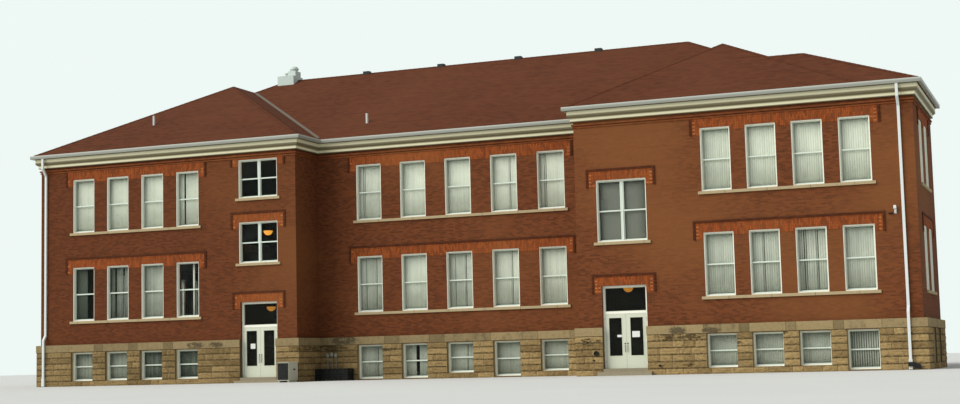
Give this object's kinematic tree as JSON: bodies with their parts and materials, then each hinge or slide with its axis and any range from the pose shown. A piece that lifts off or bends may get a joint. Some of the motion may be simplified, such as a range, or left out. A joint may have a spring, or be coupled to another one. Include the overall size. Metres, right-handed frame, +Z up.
{
  "type": "school building",
  "caption": "Brick school on a stone basement with forward wings, hinged double doors, sash windows and hipped shingle roofs.",
  "frame": {"origin": "centre of the building's bounding footprint at ground level", "axes": "+X right along the front seen from the street, +Y from the street to the rear, +Z up"},
  "size_m": [39.49, 18.99, 15.5409],
  "materials": {
    "brick": "weathered red-brown face brick",
    "bright_brick": "orange-red brick bands",
    "basement_stone": "rock-faced buff ashlar",
    "dressed_stone": "smooth buff stone",
    "cream_wood": "cream paint",
    "white_wood": "white paint",
    "white_metal": "white paint",
    "grey_metal": "grey paint",
    "door_paint": "white paint",
    "flashing": "dull sheet",
    "shingle": "red-brown mineral shingles",
    "painted_brick": "white painted brick",
    "floor_boards": "boards",
    "concrete": "concrete",
    "glass": "window glass"
  },
  "bodies": {
    "building": {"attic_floor": "floor_boards", "bay_basement": "basement_stone", "bay_roof": "shingle", "bay_wall": "brick", "brick_bands": "bright_brick", "centre_basement": "basement_stone", "centre_wall": "brick", "centre_window_frames": "white_wood", "chimney": "painted_brick", "corbel_courses": "brick", "cornice": "cream_wood", "downspouts": "white_metal", "first_floor": "floor_boards", "flue_pipes": "grey_metal", "front_glass": "glass", "ground_floor": "concrete", "gutter": "white_metal", "hood_courses": "bright_brick", "left_corner_basement": "basement_stone", "left_corner_wall": "brick", "left_door_frame": "white_wood", "left_door_step": "concrete", "left_side_basement": "basement_stone", "left_side_wall": "brick", "left_stair_wall": "brick", "left_wing_basement": "basement_stone", "left_wing_roof": "shingle", "left_wing_wall": "brick", "left_wing_window_frames": "white_wood", "main_roof": "shingle", "rear_basement": "basement_stone", "rear_wall": "brick", "right_corner_basement": "basement_stone", "right_corner_wall": "brick", "right_door_frame": "white_wood", "right_door_step": "concrete", "right_side_basement": "basement_stone", "right_side_wall": "brick", "right_stair_wall": "brick", "right_wing_basement": "basement_stone", "right_wing_roof": "shingle", "right_wing_wall": "brick", "right_wing_window_frames": "white_wood", "roof_vents": "grey_metal", "second_floor": "floor_boards", "side_and_rear_glass": "glass", "side_and_rear_window_frames": "white_wood", "stair_window_frames": "white_wood", "transom_glass": "glass", "valley_flashing": "flashing", "water_table": "dressed_stone", "window_sills": "dressed_stone"},
    "left_door_left_leaf": {"left_door_left_leaf": "door_paint", "left_door_left_leaf_glass": "glass"},
    "left_door_right_leaf": {"left_door_right_leaf": "door_paint", "left_door_right_leaf_glass": "glass"},
    "right_door_left_leaf": {"right_door_left_leaf": "door_paint", "right_door_left_leaf_glass": "glass"},
    "right_door_right_leaf": {"right_door_right_leaf": "door_paint", "right_door_right_leaf_glass": "glass"}
  },
  "joints": [
    {"name": "left_door_left_leaf_hinge", "type": "hinge", "parent": "building", "child": "left_door_left_leaf", "pos_m": [-8.96, -8.075, 0.226], "axis": [0, 0, -1], "range_deg": [0, 90]},
    {"name": "left_door_right_leaf_hinge", "type": "hinge", "parent": "building", "child": "left_door_right_leaf", "pos_m": [-7.34, -8.075, 0.226], "axis": [0, 0, 1], "range_deg": [0, 90]},
    {"name": "right_door_left_leaf_hinge", "type": "hinge", "parent": "building", "child": "right_door_left_leaf", "pos_m": [7.51, -9.015, 0.271], "axis": [0, 0, -1], "range_deg": [0, 90]},
    {"name": "right_door_right_leaf_hinge", "type": "hinge", "parent": "building", "child": "right_door_right_leaf", "pos_m": [9.13, -9.015, 0.271], "axis": [0, 0, 1], "range_deg": [0, 90]}
  ]
}
